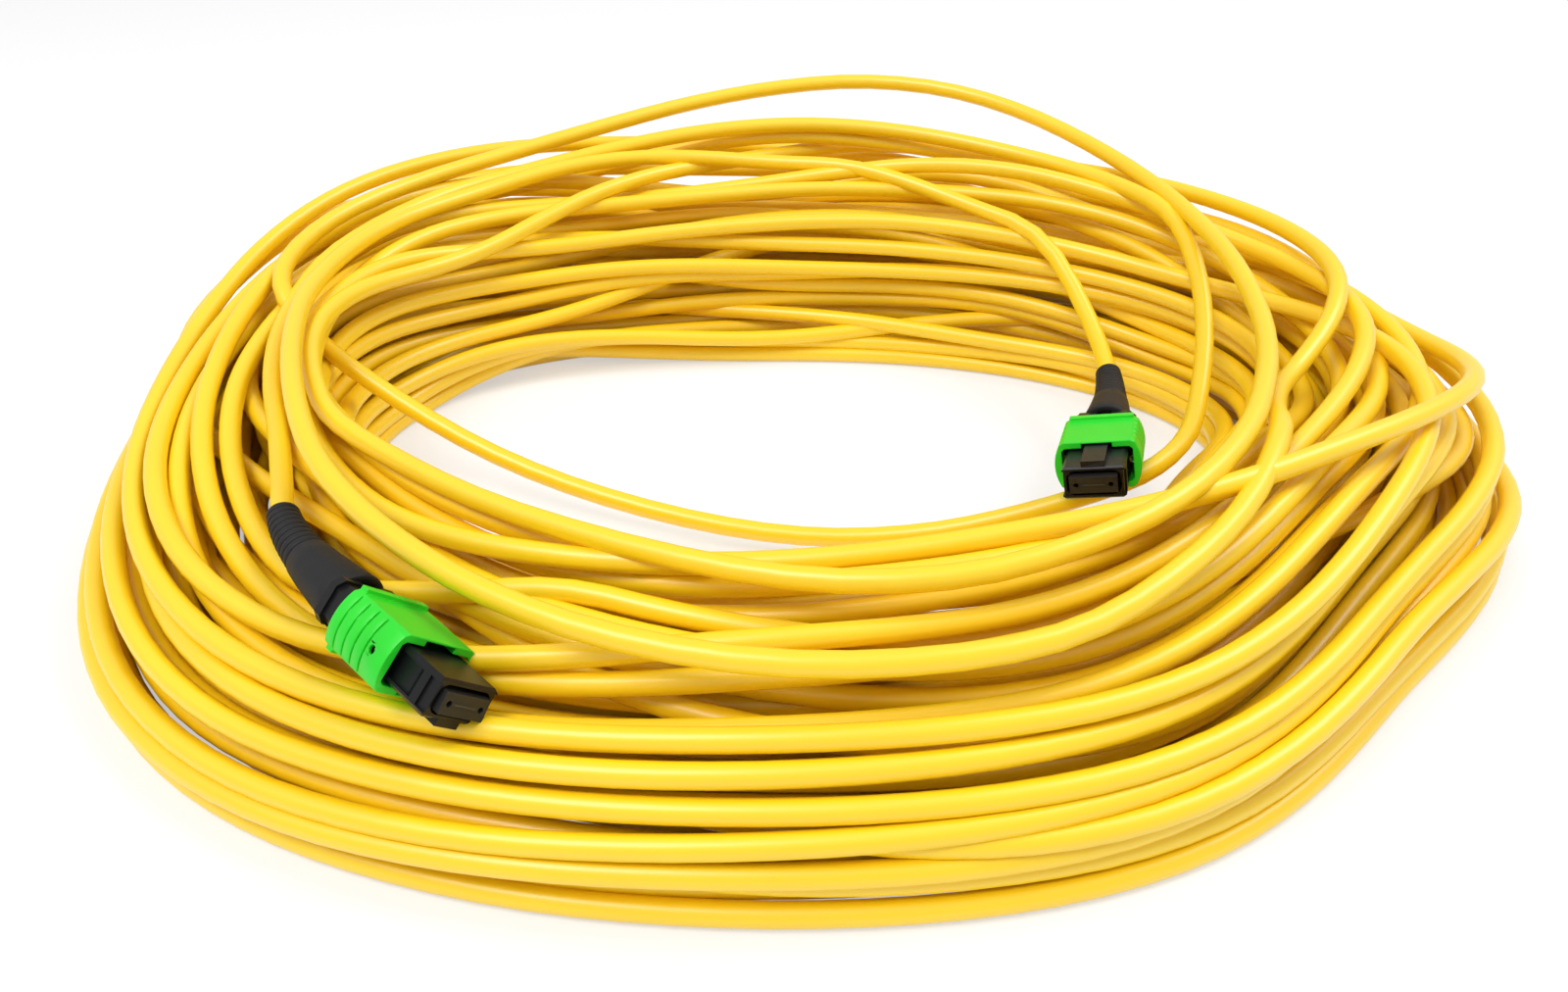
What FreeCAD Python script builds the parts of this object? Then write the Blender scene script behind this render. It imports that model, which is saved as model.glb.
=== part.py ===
import FreeCAD, Part
import math
import os

from FreeCAD import Placement, Rotation, Vector

# A fibre optic trunk cable, wound by hand into a loose oval nest, with a push-pull plug on each end.
# Millimetres. Origin on the floor at the middle of the nest, +Y to the back, +Z up.

# Cable and nest
CABLE_D = 3.0
# One row for each level of the nest: height, half width and half depth of its outside,
# half width and half depth of its hole, and how far back the middle of the hole lies.
NEST_LEVELS = [
    (0.0, 102.0, 90.0, 71.0, 40.0, -4.5),
    (11.0, 105.0, 93.0, 73.0, 43.0, -4.2),
    (25.0, 98.0, 86.0, 83.0, 62.0, -2.0),
]
NEST_SIDES = 48
# How much further out the nest's left side reaches between its ends and its middle.
NEST_LEFT_BULGE = 0.11
NEST_TOP_SLOPE = 3.4
NEST_SLOPE_AXIS = Vector(1.0, -0.4, 0.0)

# Stretches that stand clear of the nest, as points chosen by hand from the photograph.
# The two leads start at their plugs, and these are the points that follow the bend in the boot.
LEAD_A_POINTS = [
    (-79.0, -12.0, 26.2),
    (-83.0, 5.0, 27.0),
    (-82.5, 20.0, 22.5),
]
LEAD_B_POINTS = [
    (46.5, 35.0, 22.0),
    (32.0, 46.0, 26.5),
    (12.0, 57.0, 30.0),
    (-14.0, 63.0, 31.5),
    (-36.0, 62.5, 30.5),
    (-53.0, 55.0, 25.5),
]
CROSSING_TURN_POINTS = [
    (-80.5, 12.0, 20.5),
    (-74.5, 0.5, 15.5),
    (-57.0, -8.0, 9.0),
    (-36.0, -18.0, 5.2),
    (-10.0, -24.5, 2.2),
    (14.0, -26.0, 2.4),
    (34.0, -28.5, 7.5),
    (50.0, -27.5, 13.0),
    (62.0, -14.0, 16.0),
    (80.0, 14.0, 17.0),
]
STRAY_TURN_POINTS = [
    (-80.0, 36.0, 25.5),
    (-68.0, 54.0, 31.5),
    (-48.0, 68.5, 35.5),
    (-24.0, 81.0, 38.8),
    (6.0, 89.5, 40.5),
    (33.0, 84.5, 39.5),
    (54.0, 70.0, 36.0),
    (68.0, 49.5, 31.0),
    (77.0, 30.0, 26.5),
]
ROUTE_ARC_SHARE = 0.45

# Where each plug lies: the middle of its front face, the way it points, the way its key faces,
# and the way the cable leaves it once the boot has bent.
PLUG_A_FACE = (-38.1, -81.1, 21.3)
PLUG_B_FACE = (38.4, -38.6, 21.0)
PLUG_PLACES = {
    "a": {
        "face": Vector(PLUG_A_FACE),
        "forward": Vector(0.713, -0.700, -0.017),
        "key": Vector(-0.51, -0.50, -0.70),
        "leaves": Vector(-0.20, 0.97, -0.05),
    },
    "b": {
        "face": Vector(PLUG_B_FACE),
        "forward": Vector(-0.321, -0.930, 0.177),
        "key": Vector(-0.17, 0.24, 0.96),
        "leaves": Vector(0.05, 0.95, 0.15),
    },
}

# Plug. X points out of its front face, which is at 0, Y is across and Z is towards the key.
HOUSING_W = 8.5
HOUSING_H = 4.7
HOUSING_BACK = -15.2
HOUSING_EASE = 0.45
FLANGE_W = 9.5
FLANGE_H = 4.9
FLANGE_L = 1.4
KEY_W = 3.2
KEY_H = 0.75
KEY_FRONT = -0.15
KEY_BACK = -11.5
POCKET_W = 7.3
POCKET_H = 3.5
POCKET_L = 1.8
POCKET_ROUND = 1.2
FRONT_EASE = 0.3
FRONT_SIDE_L = 1.6
FRONT_SIDE_DEPTH = 0.3
SHOULDER_BACK = -4.8
LATCH_FRONT = -3.6
LATCH_BACK = -8.0
LATCH_RAMP_L = 0.8
LATCH_DEPTH = 0.4
LATCH_H = 3.2

SLEEVE_FRONT = -6.8
SLEEVE_L = 10.8
SLEEVE_W = 12.0
SLEEVE_H = 7.1
SLEEVE_FLAT_W = 10.0
SLEEVE_EASE = 0.4
SLEEVE_OPEN_W = 9.8
SLEEVE_OPEN_H = 5.2
SLEEVE_TRAVEL = 2.4
KEYWAY_W = 4.2
KEYWAY_SPARE = 0.15
REAR_LIP_L = 1.2
REAR_LIP_H = 0.5
GRIP_GROOVES = 4
GRIP_PITCH = 1.8
GRIP_GROOVE_W = 0.3
GRIP_GROOVE_DEPTH = 0.25
GRIP_FIRST_FROM_BACK = 1.6
SIDE_HOLE_D = 1.0
SIDE_HOLE_FROM_FRONT = 2.6

FERRULE_W = 6.4
FERRULE_H = 2.5
FERRULE_L = 8.0
FERRULE_PROUD = 1.0
FERRULE_FACE_ANGLE = 8.0
FERRULE_FLANGE_W = 7.0
FERRULE_FLANGE_H = 3.0
FERRULE_TRAVEL = 0.8
GUIDE_HOLE_D = 0.7
GUIDE_HOLE_PITCH = 4.6
GUIDE_PIN_ROOM = 0.1
FERRULE_BOOT_W = 3.7
FERRULE_BOOT_H = 1.9
FERRULE_BOOT_L = 4.4
KEEPER_L = 1.6
RIBBON_W = 3.1
RIBBON_H = 0.3
RIBBON_INSET = 0.4

POST_PLUG_L = 2.5
COLLAR_W = 8.5
COLLAR_H = 5.0
COLLAR_EASE = 0.9
COLLAR_BACK = -22.5
COLLAR_RIM = 0.35
COLLAR_RIM_L = 1.2
COLLAR_NOTCH_W = 2.2
COLLAR_NOTCH_DEPTH = 0.45
POST_D = 4.2
POST_BACK = -27.5
POST_BORE_D = 3.4
POST_SLOT_W = 3.6
POST_SLOT_H = 1.6

CRIMP_FRONT = -23.0
CRIMP_WALL = 0.3
CRIMP_CONE_L = 1.0
CRIMP_BACK = -32.5

BOOT_FRONT_D = 7.8
BOOT_BACK_D = 5.8
BOOT_CORE_D = 3.7
BOOT_RIBS = 9
BOOT_RIB_SHARE = 0.62
BOOT_RIB_FRONT_D = 5.0
BOOT_RIB_BACK_D = 4.0
BOOT_DRAFT = 0.12
BOOT_STEP_BACK = -29.0

CABLE_START = -26.6
BEND_RUN = 14.0
BEND_LEG = 16.0

# Round pieces are made with this many flat sides, which keeps them light.
ROUND_SIDES = 12

# Fits and wires
SLIDE_GAP = 0.15
LOOSE_GAP = 0.1
SNUG_GAP = 0.05
FERRULE_GAP = 0.1
COLLAR_GAP = 0.22
SLEEVE_WIRE = 0.22
SLEEVE_SPRING_D = 1.24
SLEEVE_SPRING_TURNS = 4
SLEEVE_SPRING_ROOM = 0.1
SLEEVE_SPRING_SIDE = 4.72
SLEEVE_SPRING_FRONT = -8.6
FERRULE_WIRE = 0.4
FERRULE_SPRING_W = 6.6
FERRULE_SPRING_H = 2.8
FERRULE_SPRING_TURNS = 3
SPRING_SIDES = 6

# The trough in the nest under plug a
TROUGH_BELOW = 7.0
TROUGH_INNER_SIDE = 13.0
TROUGH_BEHIND = 70.0

FERRULE_BACK = FERRULE_PROUD - FERRULE_L
FERRULE_BOOT_BACK = FERRULE_BACK - KEEPER_L
FERRULE_BOOT_FRONT = FERRULE_BOOT_BACK + FERRULE_BOOT_L

FORWARD = Vector(1, 0, 0)
ACROSS = Vector(0, 1, 0)
UP = Vector(0, 0, 1)


def bar(front, back, width, height, middle_z=0.0):
    """A block along X, centred across."""
    corner = Vector(back, -width / 2, middle_z - height / 2)
    return Part.makeBox(front - back, width, height, corner)


def edges_along(shape):
    """The edges of a shape that run along X."""
    return [e for e in shape.Edges if abs(e.tangentAt(e.FirstParameter).x) > 0.9]


def eased_bar(front, back, width, height, ease):
    """A block along X with its long edges cut off."""
    block = bar(front, back, width, height)
    return block.makeChamfer(ease, edges_along(block))


def rod(front, back, diameter, y=0.0, z=0.0):
    """A round bar along X."""
    return Part.makeCylinder(diameter / 2, front - back, Vector(back, y, z), FORWARD)


def skin(sections):
    """A solid with flat faces through closed rings of points, each ring with as many points."""
    faces = []
    for ring, following in zip(sections, sections[1:]):
        for a, b, c, d in zip(ring, ring[1:] + ring[:1], following[1:] + following[:1], following):
            faces.append(Part.Face(Part.makePolygon([a, b, c, a])))
            faces.append(Part.Face(Part.makePolygon([a, c, d, a])))
    for cap in (sections[0], sections[-1]):
        faces.append(Part.Face(Part.makePolygon(cap + cap[:1])))
    shell = Part.makeShell(faces)
    shell.sewShape()
    solid = Part.makeSolid(shell)
    if solid.Volume < 0:
        solid.reverse()
    return solid


def ring_of(x, radius):
    """The corners of a round section across X, which is made with a few flat sides."""
    turn = 2 * math.pi / ROUND_SIDES
    return [Vector(x, radius * math.cos(k * turn), radius * math.sin(k * turn)) for k in range(ROUND_SIDES)]


def turned(profile):
    """A round solid along X through (x, radius) steps."""
    return skin([ring_of(x, radius) for x, radius in profile]).removeSplitter()


def barrel_bar(front, back, middle_w, flat_w, height):
    """A block along X with flat top and bottom and bulging sides."""
    half_h = height / 2
    half_flat = flat_w / 2
    corners = [Vector(back, y, z) for y, z in (
        (half_flat, half_h), (half_flat, -half_h), (-half_flat, -half_h), (-half_flat, half_h))]
    right = Part.Arc(corners[0], Vector(back, middle_w / 2, 0), corners[1])
    left = Part.Arc(corners[2], Vector(back, -middle_w / 2, 0), corners[3])
    edges = [
        right.toShape(),
        Part.makeLine(corners[1], corners[2]),
        left.toShape(),
        Part.makeLine(corners[3], corners[0]),
    ]
    return Part.Face(Part.Wire(edges)).extrude(Vector(front - back, 0, 0))


def coil_spring(front, back, width, height, wire, turns, middle_y=0.0):
    """A compression spring along X of square wire, bent in short straight lengths."""
    half_w = (width - wire) / 2
    half_h = (height - wire) / 2
    steps = turns * SPRING_SIDES
    sections = []
    for step in range(steps + 1):
        angle = 2 * math.pi * step / SPRING_SIDES
        x = front - wire / 2 - (front - back - wire) * step / steps
        centre = Vector(x, middle_y + half_w * math.cos(angle), half_h * math.sin(angle))
        outward = Vector(0, math.cos(angle) / half_w, math.sin(angle) / half_h).normalize()
        reach = outward * (wire / 2)
        along = FORWARD * (wire / 2)
        sections.append([centre + reach + along, centre + reach - along,
                         centre - reach - along, centre - reach + along])
    return skin(sections)


def make_inner_housing():
    """The black body that enters the adapter, with its key, latch pockets and spring grooves."""
    body = eased_bar(0, HOUSING_BACK, HOUSING_W, HOUSING_H, HOUSING_EASE)
    front_edges = [e for e in body.Edges if e.BoundBox.XMin > -SNUG_GAP and e.BoundBox.ZLength < SNUG_GAP]
    body = body.makeChamfer(FRONT_EASE, front_edges)
    flange = eased_bar(HOUSING_BACK + FLANGE_L, HOUSING_BACK, FLANGE_W, FLANGE_H, HOUSING_EASE)
    key = bar(KEY_FRONT, KEY_BACK, KEY_W, KEY_H + 1, HOUSING_H / 2 + (KEY_H - 1) / 2)
    body = body.fuse([flange, key])
    pocket = bar(1, -POCKET_L, POCKET_W, POCKET_H)
    cuts = [
        pocket.makeFillet(POCKET_ROUND, edges_along(pocket)),
        bar(0, SHOULDER_BACK - 1, FERRULE_W + 2 * LOOSE_GAP, FERRULE_H + 2 * LOOSE_GAP),
        bar(SHOULDER_BACK, HOUSING_BACK - 1, FERRULE_FLANGE_W + 2 * SLIDE_GAP,
            FERRULE_FLANGE_H + 2 * SLIDE_GAP),
    ]
    flange_front = HOUSING_BACK + FLANGE_L
    spring_h = SLEEVE_SPRING_D + 2 * SLEEVE_SPRING_ROOM
    for side in (-1, 1):
        half_w = side * HOUSING_W / 2
        inner = half_w - side * LATCH_DEPTH
        outer = half_w + side
        outline = [
            Vector(LATCH_FRONT + LATCH_RAMP_L, half_w, -LATCH_H / 2),
            Vector(LATCH_FRONT, inner, -LATCH_H / 2),
            Vector(LATCH_BACK, inner, -LATCH_H / 2),
            Vector(LATCH_BACK, outer, -LATCH_H / 2),
            Vector(LATCH_FRONT + LATCH_RAMP_L, outer, -LATCH_H / 2),
        ]
        latch = Part.Face(Part.makePolygon(outline + outline[:1])).extrude(UP * LATCH_H)
        recess = bar(1, -FRONT_SIDE_L, 2 * FRONT_SIDE_DEPTH, POCKET_H)
        recess.translate(ACROSS * half_w)
        groove_inner = SLEEVE_SPRING_SIDE - SLEEVE_SPRING_D / 2 - SLEEVE_SPRING_ROOM
        groove = bar(SLEEVE_SPRING_FRONT + LOOSE_GAP, flange_front, 2.0, spring_h)
        groove.translate(ACROSS * side * (groove_inner + 1.0))
        cuts += [latch, recess, groove]
    return body.cut(cuts).removeSplitter()


def grip_core():
    """What the sleeve's grip grooves leave of its section, with three flats for each bulging side."""
    back = SLEEVE_FRONT - SLEEVE_L
    half_h = SLEEVE_H / 2
    bulge = (SLEEVE_W - SLEEVE_FLAT_W) / 2
    side_radius = (half_h ** 2 + bulge ** 2) / (2 * bulge)
    corners = []
    for side, heights in ((1, (1, 1 / 3, -1 / 3, -1)), (-1, (-1, -1 / 3, 1 / 3, 1))):
        for z in (half_h * share for share in heights):
            reach = SLEEVE_W / 2 - side_radius + math.sqrt(side_radius ** 2 - z ** 2)
            corners.append(Vector(back, side * (reach - GRIP_GROOVE_DEPTH), z))
    return Part.Face(Part.makePolygon(corners + corners[:1])).extrude(FORWARD * SLEEVE_L)


def make_sleeve():
    """The green coupling sleeve, open at both ends, with a lip that holds it on the housing."""
    back = SLEEVE_FRONT - SLEEVE_L
    lip_front = HOUSING_BACK - LOOSE_GAP
    body = barrel_bar(SLEEVE_FRONT, back, SLEEVE_W, SLEEVE_FLAT_W, SLEEVE_H)
    body = body.makeChamfer(SLEEVE_EASE, edges_along(body))
    rear_lip = bar(back + REAR_LIP_L, back, SLEEVE_FLAT_W - 2 * SLEEVE_EASE, SLEEVE_H + 2 * REAR_LIP_H)
    body = body.fuse(rear_lip)

    key_room = 2 * (HOUSING_H / 2 + KEY_H + KEYWAY_SPARE)
    cuts = [
        eased_bar(SLEEVE_FRONT + 1, lip_front, SLEEVE_OPEN_W, SLEEVE_OPEN_H, HOUSING_EASE),
        eased_bar(lip_front + 1, back - 1, COLLAR_W + 2 * COLLAR_GAP, COLLAR_H + 2 * COLLAR_GAP,
                  COLLAR_EASE),
        bar(SLEEVE_FRONT + 1, KEY_BACK - SLEEVE_TRAVEL, KEYWAY_W, key_room),
    ]
    spring_h = SLEEVE_SPRING_D + 2 * SLEEVE_SPRING_ROOM
    channel_w = 2 * SLEEVE_SPRING_SIDE + spring_h
    cuts.append(bar(SLEEVE_SPRING_FRONT, lip_front, channel_w, spring_h))
    hole_x = SLEEVE_FRONT - SIDE_HOLE_FROM_FRONT
    cuts.append(Part.makeCylinder(SIDE_HOLE_D / 2, SLEEVE_W, Vector(hole_x, -SLEEVE_W / 2, 0), ACROSS))

    core = grip_core()
    for groove in range(GRIP_GROOVES):
        groove_back = back + GRIP_FIRST_FROM_BACK + groove * GRIP_PITCH
        ring = bar(groove_back + GRIP_GROOVE_W, groove_back, SLEEVE_W + 1, SLEEVE_H)
        cuts.append(ring.cut(core))
    return body.cut(cuts).removeSplitter()


def make_ferrule():
    """The moulded ferrule with its slanted face, guide holes and back window."""
    front = FERRULE_PROUD
    back = FERRULE_BACK
    flange_front = SHOULDER_BACK - FERRULE_GAP
    body = bar(front, back, FERRULE_W, FERRULE_H)
    body = body.fuse(bar(flange_front, back, FERRULE_FLANGE_W, FERRULE_FLANGE_H))
    wedge = bar(front + 2, front, FERRULE_W + 1, 2 * FERRULE_H)
    wedge.rotate(Vector(front, 0, FERRULE_H / 2), ACROSS, FERRULE_FACE_ANGLE)
    cuts = [
        wedge,
        bar(FERRULE_BOOT_FRONT + SNUG_GAP, back - 1, FERRULE_BOOT_W + 2 * SNUG_GAP,
            FERRULE_BOOT_H + 2 * SNUG_GAP),
    ]
    for side in (-1, 1):
        cuts.append(rod(front + 1, back - 1, GUIDE_HOLE_D, side * GUIDE_HOLE_PITCH / 2))
    return body.cut(cuts).removeSplitter()


def make_ferrule_boot():
    """The soft block behind the ferrule, slit for the ribbon."""
    block = bar(FERRULE_BOOT_FRONT, FERRULE_BOOT_BACK, FERRULE_BOOT_W, FERRULE_BOOT_H)
    slit = bar(FERRULE_BOOT_FRONT + 1, FERRULE_BOOT_BACK - 1, RIBBON_W + 2 * SNUG_GAP,
               RIBBON_H + 2 * SNUG_GAP)
    return block.cut(slit)


def make_pin_keeper():
    """The plate behind the ferrule, with a window for the ferrule boot and room for the guide pins."""
    front = FERRULE_BACK - SNUG_GAP
    back = front - KEEPER_L
    plate = bar(front, back, FERRULE_FLANGE_W, FERRULE_FLANGE_H)
    pin_slot = GUIDE_HOLE_D + 2 * GUIDE_PIN_ROOM
    cuts = [
        bar(front + 1, back - 1, FERRULE_BOOT_W + 2 * LOOSE_GAP, FERRULE_BOOT_H + 2 * LOOSE_GAP),
        bar(front + 1, back - 1, GUIDE_HOLE_PITCH + pin_slot, pin_slot),
    ]
    return plate.cut(cuts).removeSplitter()


def make_ferrule_spring():
    """The oval spring between the pin keeper and the back post."""
    front = FERRULE_BACK - KEEPER_L - 2 * SNUG_GAP
    back = HOUSING_BACK + POST_PLUG_L + SNUG_GAP
    return coil_spring(front, back, FERRULE_SPRING_W, FERRULE_SPRING_H, FERRULE_WIRE,
                       FERRULE_SPRING_TURNS)


def make_sleeve_springs():
    """The two thin springs between the sleeve and the flange of the housing."""
    front = SLEEVE_SPRING_FRONT - SNUG_GAP
    back = HOUSING_BACK + FLANGE_L + SNUG_GAP
    pair = [coil_spring(front, back, SLEEVE_SPRING_D, SLEEVE_SPRING_D, SLEEVE_WIRE,
                        SLEEVE_SPRING_TURNS, side * SLEEVE_SPRING_SIDE) for side in (-1, 1)]
    return Part.makeCompound(pair)


def make_back_post():
    """The post that closes the housing: plug, collar with a rim and a hollow round tail for the crimp."""
    plug_spare = 2 * SLIDE_GAP - 2 * SNUG_GAP
    plug = bar(HOUSING_BACK + POST_PLUG_L, HOUSING_BACK - 1, FERRULE_FLANGE_W + plug_spare,
               FERRULE_FLANGE_H + plug_spare)
    collar = eased_bar(HOUSING_BACK, COLLAR_BACK, COLLAR_W, COLLAR_H, COLLAR_EASE)
    rim = eased_bar(COLLAR_BACK + COLLAR_RIM_L, COLLAR_BACK, COLLAR_W + 2 * COLLAR_RIM,
                    COLLAR_H + 2 * COLLAR_RIM, COLLAR_EASE)
    tail = turned([(COLLAR_BACK + 1, POST_D / 2), (POST_BACK, POST_D / 2)])
    body = plug.fuse([collar, rim, tail])
    notch_front = SLEEVE_FRONT - SLEEVE_L - 0.6
    cuts = [
        bar(HOUSING_BACK + POST_PLUG_L + 1, COLLAR_BACK, POST_SLOT_W, POST_SLOT_H),
        turned([(COLLAR_BACK, POST_BORE_D / 2), (POST_BACK - 1, POST_BORE_D / 2)]),
    ]
    for side in (-1, 1):
        cuts.append(bar(notch_front, COLLAR_BACK - 1, COLLAR_NOTCH_W, 2 * COLLAR_NOTCH_DEPTH,
                        side * COLLAR_H / 2))
    return body.cut(cuts).removeSplitter()


def make_crimp_ring():
    """The metal ring crimped over the tail of the post, with a neck on the cable."""
    wide = POST_D / 2 + SNUG_GAP
    narrow = CABLE_D / 2 + SNUG_GAP
    cone_front = POST_BACK - 0.2
    cone_back = cone_front - CRIMP_CONE_L
    outside = turned([
        (CRIMP_FRONT, wide + CRIMP_WALL),
        (cone_front, wide + CRIMP_WALL),
        (cone_back, narrow + CRIMP_WALL),
        (CRIMP_BACK, narrow + CRIMP_WALL),
    ])
    bore = turned([
        (CRIMP_FRONT + 1, wide),
        (cone_front, wide),
        (cone_back, narrow),
        (CRIMP_BACK - 1, narrow),
    ])
    return outside.cut(bore)


def bend_of(forward, leaves):
    """The turn of the cable at the boot in degrees, and the radius of its bend."""
    turn = math.degrees((-forward).getAngle(leaves))
    radius = ROUTE_ARC_SHARE * BEND_RUN / math.tan(math.radians(turn / 2))
    return turn, radius


def make_boot(turn, radius):
    """The bend-relief boot: a smooth taper, then a ribbed tail bent towards Z."""
    bend_x = CABLE_START - BEND_RUN * (1 - ROUTE_ARC_SHARE)
    pivot = Vector(bend_x, 0, radius)
    bend = Rotation(ACROSS, 1)

    def section(distance, section_radius):
        """A ring so far behind the front of the boot, turned with the bend once it is in it."""
        x = COLLAR_BACK - distance
        if x >= bend_x:
            return ring_of(x, section_radius)
        bend.Angle = (bend_x - x) / radius
        return [pivot + bend.multVec(p - pivot) for p in ring_of(bend_x, section_radius)]

    smooth_l = COLLAR_BACK - bend_x
    tail_l = radius * math.radians(turn)
    pitch = tail_l / BOOT_RIBS
    core = BOOT_CORE_D / 2
    outline = [(0, BOOT_FRONT_D / 2), (smooth_l, BOOT_BACK_D / 2), (smooth_l + BOOT_DRAFT, core)]
    for rib in range(BOOT_RIBS):
        rib_d = BOOT_RIB_FRONT_D + (BOOT_RIB_BACK_D - BOOT_RIB_FRONT_D) * rib / (BOOT_RIBS - 1)
        rib_back = smooth_l + (rib + 1) * pitch
        rib_front = rib_back - BOOT_RIB_SHARE * pitch
        outline += [(rib_front, core), (rib_front + BOOT_DRAFT, rib_d / 2), (rib_back, rib_d / 2)]
        if rib < BOOT_RIBS - 1:
            outline.append((rib_back + BOOT_DRAFT, core))

    cable_bore = CABLE_D / 2 + LOOSE_GAP
    ring_bore = POST_D / 2 + SNUG_GAP + CRIMP_WALL + LOOSE_GAP
    neck_bore = CABLE_D / 2 + SNUG_GAP + CRIMP_WALL + LOOSE_GAP
    step = COLLAR_BACK - BOOT_STEP_BACK
    neck_l = COLLAR_BACK - CRIMP_BACK + BOOT_DRAFT
    inside = [(-1, ring_bore), (step, ring_bore), (step + BOOT_DRAFT, neck_bore), (neck_l, neck_bore),
              (neck_l + BOOT_DRAFT, cable_bore), (smooth_l, cable_bore)]
    for rib in range(BOOT_RIBS):
        inside.append((smooth_l + (rib + 1) * pitch, cable_bore))
    inside.append((smooth_l + tail_l + 1, cable_bore))

    def solid(profile):
        return skin([section(distance, section_radius) for distance, section_radius in profile])

    return solid(outline).cut(solid(inside)).removeSplitter()


def make_ribbon():
    """The flat ribbon of twelve fibres, from the ferrule to the end of the cable's jacket."""
    back = CABLE_START + FERRULE_TRAVEL + LOOSE_GAP
    return bar(FERRULE_BOOT_FRONT - RIBBON_INSET, back, RIBBON_W, RIBBON_H)


def plug_placement(place):
    """The placement that takes a plug from its own frame to where it lies."""
    x = Vector(place["forward"]).normalize()
    y = place["key"].cross(x).normalize()
    z = x.cross(y)
    o = place["face"]
    return Placement(FreeCAD.Matrix(
        x.x, y.x, z.x, o.x,
        x.y, y.y, z.y, o.y,
        x.z, y.z, z.z, o.z,
        0, 0, 0, 1))


def make_plug(place):
    """Every piece of one plug where it lies, and the start of its cable's route."""
    forward = Vector(place["forward"]).normalize()
    leaves = Vector(place["leaves"]).normalize()
    placement = plug_placement(place)
    turn, radius = bend_of(forward, leaves)
    sideways = placement.Rotation.inverted().multVec(leaves)
    boot = make_boot(turn, radius)
    boot.rotate(Vector(0, 0, 0), FORWARD, math.degrees(math.atan2(-sideways.y, sideways.z)))
    pieces = {
        "inner_housing": make_inner_housing(),
        "sleeve": make_sleeve(),
        "ferrule": make_ferrule(),
        "ferrule_boot": make_ferrule_boot(),
        "pin_keeper": make_pin_keeper(),
        "ferrule_spring": make_ferrule_spring(),
        "sleeve_springs": make_sleeve_springs(),
        "back_post": make_back_post(),
        "crimp_ring": make_crimp_ring(),
        "boot": boot,
        "fibre_ribbon": make_ribbon(),
    }
    for shape in pieces.values():
        shape.Placement = placement.multiply(shape.Placement)
    start = place["face"] + forward * CABLE_START
    corner = start - forward * BEND_RUN
    return pieces, [start, corner, corner + leaves * BEND_LEG]


def make_tube(name, points):
    """A tube of cable along straight runs joined by tangent arcs, as wide as the runs allow."""
    route = [Vector(p) for p in points]
    edges = []
    radii = []
    here = route[0]
    for before, corner, after in zip(route, route[1:], route[2:]):
        back = before - corner
        ahead = after - corner
        reach = ROUTE_ARC_SHARE * min(back.Length, ahead.Length)
        half_turn = (math.pi - back.getAngle(ahead)) / 2
        radius = reach / math.tan(half_turn)
        radii.append(radius)
        back.normalize()
        ahead.normalize()
        arc_start = corner + back * reach
        arc_end = corner + ahead * reach
        inward = (back + ahead).normalize()
        arc_middle = corner + inward * (radius / math.cos(half_turn) - radius)
        edges.append(Part.LineSegment(here, arc_start).toShape())
        edges.append(Part.Arc(arc_start, arc_middle, arc_end).toShape())
        here = arc_end
    edges.append(Part.LineSegment(here, route[-1]).toShape())
    path = Part.Wire(edges)
    start = Placement(route[0], Rotation(FORWARD, route[1] - route[0]))
    corners = [start.multVec(p) for p in ring_of(0, CABLE_D / 2)]
    section = Part.Face(Part.makePolygon(corners + corners[:1]))
    tube = path.makePipe(section)
    plain = section.Area * path.Length
    print(name, "length %.1f, volume over plain %.4f, radii" % (path.Length, tube.Volume / plain),
          " ".join("%.0f" % radius for radius in radii))
    return tube


def oval(half_w, half_d, middle_y, left_bulge):
    """The corners of an ellipse whose left side is fuller."""
    corners = []
    for k in range(NEST_SIDES):
        angle = 2 * math.pi * k / NEST_SIDES
        reach = 1 + left_bulge * math.sin(2 * angle) ** 2 if math.cos(angle) < 0 else 1
        across, along = half_w * reach * math.cos(angle), half_d * reach * math.sin(angle)
        corners.append(Vector(across, middle_y + along, 0))
    return corners


def nest_shape(level_shapes, left_bulge):
    """A solid through ovals of (height, half width, half depth, middle Y), tilted more with height."""
    top = NEST_LEVELS[-1][0]
    axis = Vector(NEST_SLOPE_AXIS).normalize()
    rings = []
    for height, half_w, half_d, middle_y in level_shapes:
        tilt = Rotation(axis, NEST_TOP_SLOPE * height / top)
        rings.append([tilt.multVec(p) + UP * height for p in oval(half_w, half_d, middle_y, left_bulge)])
    return skin(rings)


def make_nest():
    """The wound cable as one closed solid of its outer shape, with a trough where plug a lies."""
    outside = nest_shape([(z, w, d, 0.0) for z, w, d, _, _, _ in NEST_LEVELS], NEST_LEFT_BULGE)
    hole = nest_shape([(z, w, d, y) for z, _, _, w, d, y in NEST_LEVELS], 0.0)
    nest = outside.cut(hole)

    place = PLUG_PLACES["a"]
    forward = Vector(place["forward"]).normalize()
    inward = UP.cross(forward).normalize()
    far = max(level[1] for level in NEST_LEVELS)
    trough = Part.makeBox(
        far + TROUGH_BEHIND, far + TROUGH_INNER_SIDE, far, Vector(-TROUGH_BEHIND, -far, -TROUGH_BELOW))
    level = {"face": place["face"], "forward": forward, "key": forward.cross(inward)}
    trough.Placement = plug_placement(level)
    return nest.cut(trough).removeSplitter()


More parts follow.
